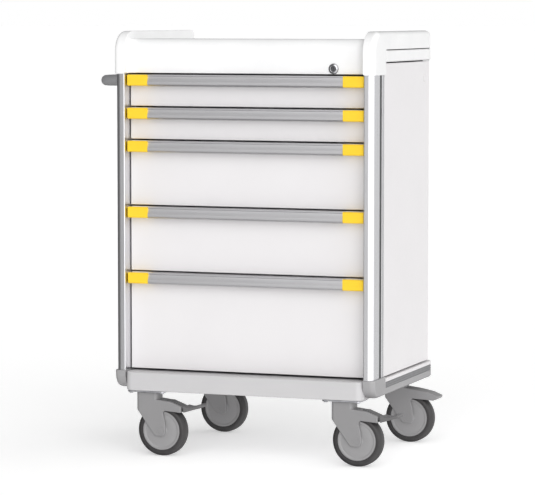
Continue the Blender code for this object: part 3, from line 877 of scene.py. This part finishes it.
# Push handle --------------------------------------------------------------------------
def build_handle(looks):
    """Push handle: a bent tube that stands out from the left side on two flanges."""
    low, high = room("push_handle")
    radius = (high.z - low.z) / 2
    height = (high.z + low.z) / 2
    grip = low.x + radius
    ends = (low.y + radius, high.y - radius)
    corners = [
        (high.x, ends[0]),
        (grip, ends[0], HANDLE_BEND),
        (grip, ends[1], HANDLE_BEND),
        (high.x, ends[1]),
    ]
    route = rounded(corners, ARC_STEP / 2)
    handle = solid("push_bar", tube(route, radius), HOME + Vector((0, 0, height)))
    dress(handle, looks["tube"], "root", "handle_grey", "push_handle")
    for y, name in zip(ends, ("front", "rear")):
        inner, outer = room(f"handle_flange_{name}")
        rim = (outer.y - inner.y) / 2
        disc = rounded([
            (outer.x, 0.0),
            (outer.x, rim),
            (inner.x, rim, 0.0025),
            (inner.x, rim - 0.004, 0.0010),
            (inner.x + 0.0010, radius + 0.0006),
            (inner.x + 0.0010, 0.0),
        ])
        flange = solid(f"bar_flange_{name}", turned(disc, "X", (y, height), 72))
        dress(flange, looks["flange"], "root", "handle_grey", f"handle_flange_{name}")


# Drawers ------------------------------------------------------------------------------
def rail_profile(front, top, bottom):
    """Handle rail: a lip with a trough behind it, a sloping hollow, a round nose and a hook."""
    lip = front + 0.0030
    hollow = front + 0.0048
    return [
        (RAIL_BACK, top),
        (0, top),
        (0, top - TROUGH),
        (front + LIP_REAR, top - TROUGH),
        (front + LIP_REAR, top, 0.0004),
        (lip, top, 0.0008),
        (lip, top - 0.0030, 0.0008),
        (hollow, top - 0.0042, 0.0006),
        *bow((hollow, top - 0.0050), (front + 0.0034, top - 0.0110), (front + 0.0004, top - 0.0164)),
        (front, top - 0.0180, 0.0030),
        (front, bottom + 0.0035, 0.0030),
        (front + 0.0035, bottom, 0.0010),
        (front + 0.0062, bottom, 0.0006),
        (-0.0165, top - 0.0030, 0.0015),
        (0.0008, top - 0.0030, 0.0015),
        (0.0008, bottom),
        (RAIL_BACK, bottom),
    ]


def build_cap(looks, number, side, name):
    """Yellow end cap of a rail, full at the front and rounded at its outer end."""
    low, high = room(f"rail_cap_{name}_{number}")
    rounding = 0.0030

    def ring(x, inset):
        corners = [
            (high.y, high.z - inset - TROUGH),
            (low.y + LIP_REAR, high.z - inset - TROUGH),
            (low.y + LIP_REAR, high.z - inset),
            (low.y + inset, high.z - inset, 0.0034 - inset),
            (low.y + inset, low.z + inset, 0.0044 - inset),
            (high.y, low.z + inset),
        ]
        return [PLACE["X"](y, z, x) for y, z in rounded(corners)]

    inner, outer = span(1, min(abs(low.x), abs(high.x)), max(abs(low.x), abs(high.x)))
    lead = [(side * inner, 0.0005), (side * (inner + 0.0005), 0.0)]
    turns = [math.pi / 2 * step / 6 for step in range(7)]
    end = outer - rounding
    tail = [(side * (end + rounding * math.sin(a)), rounding * (1 - math.cos(a))) for a in turns]
    cap = solid(f"cap_{name}_{number}", loft([ring(x, inset) for x, inset in lead + tail]))
    dress(cap, looks["yellow"], f"drawer_{number}", "cap_yellow", f"rail_cap_{name}_{number}")


def build_drawer(looks, number):
    """Front plate, box with its runner ribs, handle rail and two end caps."""
    low, high = room(f"drawer_{number}")
    rail_low, rail_high = room(f"handle_rail_{number}")
    body = f"drawer_{number}"
    ledge = rail_low.z - GAP
    outline = [
        (0, low.z),
        (0, ledge),
        (RAIL_BACK + GAP, ledge),
        (RAIL_BACK + GAP, high.z),
        (FRONT_THICKNESS, high.z),
        (FRONT_THICKNESS, low.z),
    ]
    front = solid(f"drawer_front_{number}", prism(outline, "X", low.x, high.x))

    def front_edge(middle, convex):
        if not convex:
            return 0.0
        return 0.0014 if middle.y < 0.001 else 0.0005

    soften(front, front_edge)
    dress(front, looks["drawer"], body, "drawer_white", f"drawer_{number}")

    bottom = low.z + BOX_LIFT
    rim = high.z - BOX_DROP
    near = FRONT_THICKNESS + GAP
    outer = oblong((-BOX_HALF, near), (BOX_HALF, high.y), far=(0.006,))
    tray = solid(f"drawer_box_{number}", prism(outer, "Z", bottom, rim))
    half = BOX_HALF - BOX_WALL
    well = oblong((-half, near + BOX_WALL), (half, high.y - BOX_WALL), (0.004,), (0.004,))
    combine(tray, prism(well, "Z", bottom + BOX_WALL, rim + 0.01))
    for side in (-1, 1):
        x_low, x_high = span(side, BOX_HALF - 0.001, FRONT_HALF - 0.0058)
        rib_low = (x_low, near + 0.004, low.z + RIB_Z[0])
        rib_high = (x_high, high.y - 0.009, low.z + RIB_Z[1])
        combine(tray, box(rib_low, rib_high), "UNION")

    def edge_round(middle, convex):
        if convex:
            return 0.0008
        return 0.0020 if abs(middle.x) < half + GAP else 0.0

    soften(tray, edge_round, 2)
    dress(tray, looks["inside"], body, "drawer_white", f"drawer_{number}")

    profile = rail_profile(rail_low.y, rail_high.z, rail_low.z)
    rail = solid(f"rail_{number}", prism(profile, "X", rail_low.x, rail_high.x))
    dress(rail, looks["rail"], body, "rail_aluminium", f"handle_rail_{number}")
    for side, name in SIDES:
        build_cap(looks, number, side, name)


# Casters ------------------------------------------------------------------------------
def hood_outline(trail, axle, braked):
    """Side view of a caster housing: the hood over the wheel and a leg down to the axle."""
    if braked:
        nose = [(0.0895, 0.1235, 0.0035), (0.0885, 0.108, 0.0030)]
    else:
        nose = [
            (0.092, 0.128, 0.020),
            (0.1145, 0.119, 0.0025),
            (0.112, 0.113, 0.0025),
            (0.100, 0.1085, 0.006),
        ]
    return [
        (-NECK_HALF, SHOULDER),
        (-NECK_HALF, 0.1150, 0.008),
        (trail - 0.0150, axle - 0.0130, 0.010),
        (trail + 0.0135, axle - 0.0130, 0.010),
        (trail + 0.0120, axle + 0.0200, 0.060),
        (0.0400, 0.1120, 0.006),
        *reversed(nose),
        (0.0600, 0.1345, 0.030),
        (NECK_HALF, SHOULDER, 0.020),
    ]


def build_fork(tag, trail, axle, braked):
    """Housing: a softly rounded hood and legs, with the swivel neck standing on it."""
    low, high = room(f"caster_fork_{tag}")
    half = (high.y - low.y) / 2
    fork = solid(f"housing_{tag}", prism(hood_outline(trail, axle, braked), "Y", -half, half))
    soften(fork, lambda middle, convex: 0.0024 if abs(middle.y) > half - 0.0005 else 0.0, 4)
    nose = high.x - (low.x + NECK_HALF)
    plan = [
        (-NECK_HALF, -half, NECK_CORNER),
        (nose, -half, 0.004),
        (nose, half, 0.004),
        (-NECK_HALF, half, NECK_CORNER),
    ]
    combine(fork, prism(plan, "Z", 0.0, 0.2), "INTERSECT")
    neck = oblong((-NECK_HALF, -half), (NECK_HALF, half), (NECK_CORNER,), (NECK_CORNER,))
    combine(fork, prism(neck, "Z", NECK_LOW, high.z), "UNION")
    combine(fork, rod((trail, axle), SLOT_RADIUS, "Y", -SLOT_HALF, SLOT_HALF, 96))
    combine(fork, rod((0, 0), SPIGOT_HOLE, "Z", 0.1315, high.z + 0.01, 32))
    into_leg = SLOT_HALF + 0.001
    combine(fork, rod((trail, axle), AXLE_RADIUS, "Y", -into_leg, into_leg, 32), "UNION")
    for side in (-1, 1):
        ring = [(side * (half - 0.0005), 0.0078), (side * (half - 0.0005), 0.0088)]
        ring += [(side * (half + 0.002), 0.0088), (side * (half + 0.002), 0.0078)]
        combine(fork, turned(ring, "Y", (trail, axle), 48))
    if braked:
        combine(fork, box((0.046, -0.0128, 0.1100), (0.110, 0.0128, 0.150)))
        combine(fork, rod(PEDAL_PIN, 0.0022, "Y", -0.0138, 0.0138, 16), "UNION")
    return fork


def build_pedal():
    """Brake pedal: a tongue in the hood's slot and a wide paddle with grip bars, about its pin."""
    tongue = [
        (-0.0080, 0.0060, 0.003),
        (0.0050, 0.0055, 0.010),
        (0.0345, -0.0070, 0.010),
        (0.0450, -0.0085),
        (0.0450, -0.0150),
        (0.0260, -0.0155, 0.006),
        (0.0140, -0.0115, 0.006),
        (-0.0080, -0.0045, 0.003),
    ]
    paddle = [
        (0.0375, -0.0055, 0.003),
        (0.0550, -0.0095, 0.030),
        (0.0840, 0.0005, 0.004),
        (0.0840, -0.0090, 0.004),
        (0.0700, -0.0125, 0.030),
        (0.0375, -0.0225, 0.003),
    ]
    pedal = solid("pedal", prism(paddle, "Y", -0.0205, 0.0205))
    soften(pedal, 0.0016, 4)
    combine(pedal, prism(tongue, "Y", -0.0122, 0.0122), "UNION")
    for step in range(4):
        x = 0.0610 + 0.0052 * step
        z = -0.0082 + 0.0017 * step
        combine(pedal, rod((x, z), 0.0013, "Y", -0.0150, 0.0150, 12), "UNION")
    combine(pedal, rod((0, 0), 0.0026, "Y", -0.02, 0.02, 24))
    return pedal


def build_hub(bore, face, radius):
    """Moulded wheel centre: a round rim, a shallow dished disc and a boss."""
    half = [
        (-face - 0.0011, bore),
        (-face - 0.0011, 0.0118, 0.0010),
        (-face + 0.0012, 0.0150, 0.0040),
        (-face + 0.0006, 0.0290, 0.0400),
        (-face + 0.0013, 0.0405, 0.0030),
        (-face, 0.0432, 0.0012),
        (-face, radius, 0.0009),
    ]
    arc = rounded(half + [(0.0, radius), (0.0, bore)])[:-2]
    outline = [tuple(point) for point in arc] + [(-w, r) for w, r in reversed(arc)]
    return solid("hub", turned(outline, "Y", sides=120))


def build_tyre(half, inner, radius):
    """Solid tyre: round shoulders and two fine grooves round the tread."""
    groove = 0.0005
    side = [
        (-half, inner),
        (-half, inner + 0.0040, 0.0008),
        (-half + 0.0004, radius - 0.0060, 0.0060),
        (-half + 0.0080, radius, 0.0040),
        (-0.0062, radius, 0.0006),
        (-0.0056, radius - groove, 0.0003),
        (-0.0050, radius, 0.0006),
    ]
    arc = rounded(side + [(0.0, radius), (0.0, inner)])[:-2]
    outline = [tuple(point) for point in arc] + [(-w, r) for w, r in reversed(arc)]
    return solid("tyre", turned(outline, "Y", sides=144))


def build_plate(low, high, stem):
    """Mounting plate with rounded corners, four hexagon bolts on washers, and the spigot."""
    left, right = low.x - stem.x, high.x - stem.x
    front, rear = low.y - stem.y, high.y - stem.y
    corners = oblong((left, front), (right, rear), (0.007,), (0.007,))
    plate = solid("plate", prism(corners, "Z", SHEET_LOW, high.z))
    into_sheet = SHEET_LOW + 0.001
    for x in BOLTS_X:
        for y in BOLTS_Y:
            washer = rod((x, y), 0.0062, "Z", SHEET_LOW - 0.0008, into_sheet, 32)
            combine(plate, washer, "UNION")
            head = prism(circle((x, y), 0.0050, 6), "Z", SHEET_LOW - 0.0030, into_sheet)
            combine(plate, head, "UNION")
    combine(plate, rod((0, 0), 0.0095, "Z", low.z, into_sheet, 40), "UNION")
    soften(plate, lambda middle, convex: 0.0004 if convex else 0.0, 2)
    return plate


def build_casters(looks):
    """Four casters; alike parts are made once and repeated."""
    made = {}
    for tag in CASTERS:
        plate_low, plate_high = room(f"caster_plate_{tag}")
        tyre_low, tyre_high = room(f"caster_tyre_{tag}")
        hub_low, hub_high = room(f"caster_hub_{tag}")
        hub_half = (hub_high.y - hub_low.y) / 2
        tyre_half = (tyre_high.y - tyre_low.y) / 2
        stem = Vector(((plate_low.x + plate_high.x) / 2, (tyre_low.y + tyre_high.y) / 2, 0))
        wheel = (tyre_low + tyre_high) / 2
        trail = wheel.x - stem.x
        braked = f"brake_pedal_{tag}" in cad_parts
        at = HOME + stem
        centre = HOME + wheel
        parts = {
            "plate": lambda: build_plate(plate_low, plate_high, stem),
            "fork": lambda: build_fork(tag, trail, wheel.z, braked),
            "hub": lambda: build_hub(HUB_BORE, hub_half - HUB_BOSS, HUB_RADIUS),
            "tyre": lambda: build_tyre(tyre_half, TYRE_BORE, wheel.z),
        }
        plans = [
            ("plate", "mount_plate", at, "zinc", "root", "zinc_steel", "caster_plate"),
            ("fork", "housing", at, "caster", f"caster_{tag}", "caster_grey", "caster_fork"),
            ("hub", "wheel_hub", centre, "hub", f"wheel_{tag}", "hub_grey", "caster_hub"),
            ("tyre", "wheel_tyre", centre, "tyre", f"wheel_{tag}", "tyre_rubber", "caster_tyre"),
        ]
        if braked:
            pivot = at + Vector((PEDAL_PIN[0], 0, PEDAL_PIN[1]))
            parts["pedal"] = build_pedal
            plans.append(("pedal", "brake", pivot, "pedal", f"brake_{tag}", "pedal_grey", "brake_pedal"))
        for kind, name, spot, look, body, slot, node in plans:
            key = (kind, braked) if kind == "fork" else kind
            if key in made:
                twin(made[key], f"{name}_{tag}", spot, body, slot, f"{node}_{tag}")
                continue
            item = parts[kind]()
            item.name = f"{name}_{tag}"
            item.location = spot
            made[key] = dress(item, looks[look], body, slot, f"{node}_{tag}")


# Stage --------------------------------------------------------------------------------
CAMERA_SPOT = Vector((2.3811, -6.3870, 1.077))
CAMERA_LENS = 191.64
CAMERA_TURN = 20.04
CAMERA_DROP = 4.73
FLOOR_HALF = 200
KEY_TURN = math.radians(25)
KEY_RISE = math.radians(26)
ROOM_TOWARDS = (0.470, -0.155, 0.0)
ROOM_SHIFT = 0.51


def build_camera():
    """Camera at the photo's angle, far away with a long lens and nothing out of focus."""
    data = bpy.data.cameras.new("camera")
    data.lens = CAMERA_LENS
    data.sensor_width = 36
    data.clip_end = 500
    camera = bpy.data.objects.new("camera", data)
    camera.location = HOME + CAMERA_SPOT
    camera.rotation_euler = (math.radians(90 - CAMERA_DROP), 0, math.radians(CAMERA_TURN))
    bpy.context.collection.objects.link(camera)
    bpy.context.scene.camera = camera


def build_floor():
    """Pale plain floor, a little bright of its own so that it meets the white background."""
    bm = bmesh.new()
    outline = [(-1, -1), (1, -1), (1, 1), (-1, 1)]
    bm.faces.new([bm.verts.new((FLOOR_HALF * x, FLOOR_HALF * y, 0)) for x, y in outline])
    floor = solid("floor", bm, Vector((0, 0, 0)))
    finish = Finish("floor_paint", (0.84, 0.84, 0.84, 1.0), 0.75)
    finish.tint(finish.noise(3, 3), (0.82, 0.82, 0.82, 1.0), 0.0, 0.4)
    finish.set(**{"Emission Color": (1.0, 1.0, 1.0, 1.0), "Emission Strength": 0.40})
    floor.data.materials.append(finish.material)
    floor.visible_glossy = False


ROOM_GLOW = [(0.00, 0.12), (0.30, 0.26), (0.48, 0.46), (0.62, 0.92), (1.00, 1.00)]
ROOM_GLINT = [(0.00, 0.12), (0.30, 0.24), (0.47, 0.38), (0.63, 1.50), (1.00, 1.60)]


def build_light():
    """Soft key light from the upper right front, in a room that is brighter on that side."""
    key = bpy.data.lights.new("key", "SUN")
    key.energy = 1.2
    key.angle = math.radians(60)
    lamp = bpy.data.objects.new("key", key)
    towards = Vector((math.sin(KEY_TURN), -math.cos(KEY_TURN), math.tan(KEY_RISE)))
    lamp.rotation_euler = towards.to_track_quat("Z", "Y").to_euler()
    bpy.context.collection.objects.link(lamp)

    world = bpy.data.worlds.new("room")
    bpy.context.scene.world = world
    world.use_nodes = True
    tree = world.node_tree
    where = tree.nodes.new("ShaderNodeTexCoord").outputs["Generated"]
    facing = tree.nodes.new("ShaderNodeVectorMath")
    facing.operation = "DOT_PRODUCT"
    facing.inputs[1].default_value = ROOM_TOWARDS
    tree.links.new(where, facing.inputs[0])
    shift = tree.nodes.new("ShaderNodeMath")
    shift.inputs[1].default_value = ROOM_SHIFT
    tree.links.new(facing.outputs["Value"], shift.inputs[0])
    ray = tree.nodes.new("ShaderNodeLightPath")
    glow = tree.nodes.new("ShaderNodeMix")
    glow.data_type = "RGBA"
    tree.links.new(ray.outputs["Is Glossy Ray"], glow.inputs["Factor"])
    brightest = max(level for stops in (ROOM_GLOW, ROOM_GLINT) for _, level in stops)
    for stops, socket in ((ROOM_GLOW, 6), (ROOM_GLINT, 7)):
        ramp = tree.nodes.new("ShaderNodeValToRGB")
        ramp.color_ramp.interpolation = "EASE"
        while len(ramp.color_ramp.elements) < len(stops):
            ramp.color_ramp.elements.new(0.5)
        for stop, (place, level) in zip(ramp.color_ramp.elements, stops):
            stop.position = place
            stop.color = (level / brightest,) * 3 + (1.0,)
        tree.links.new(shift.outputs["Value"], ramp.inputs["Fac"])
        tree.links.new(ramp.outputs["Color"], glow.inputs[socket])
    background = tree.nodes["Background"]
    tree.links.new(glow.outputs[2], background.inputs["Color"])
    background.inputs["Strength"].default_value = brightest
    plain = tree.nodes.new("ShaderNodeBackground")
    plain.inputs["Color"].default_value = (1.0, 1.0, 1.0, 1.0)
    mix = tree.nodes.new("ShaderNodeMixShader")
    tree.links.new(ray.outputs["Is Camera Ray"], mix.inputs["Fac"])
    tree.links.new(background.outputs["Background"], mix.inputs[1])
    tree.links.new(plain.outputs["Background"], mix.inputs[2])
    tree.links.new(mix.outputs["Shader"], tree.nodes["World Output"].inputs["Surface"])
    bpy.context.scene.view_settings.view_transform = "Standard"


# The cart -----------------------------------------------------------------------------
def build_cart():
    """The whole cart, from the base up."""
    looks = build_looks()
    build_base(looks)
    build_strip(looks)
    for side, name in SIDES:
        build_column(looks, side, name)
        dress_cad(f"side_panel_{name}", looks["panel"], 0.0007)
        dress_cad(f"runner_frame_{name}", looks["zinc"], 0.0003)
    dress_cad("back_panel", looks["panel"], 0.0007)
    dress_cad("top_deck", looks["zinc"], 0.0005)
    build_back_screws(looks)
    build_plug(looks)
    build_cover(looks)
    build_shelf(looks)
    build_lock(looks)
    build_handle(looks)
    for number in DRAWERS:
        build_drawer(looks, number)
    build_casters(looks)


build_camera()
build_floor()
build_light()
build_cart()
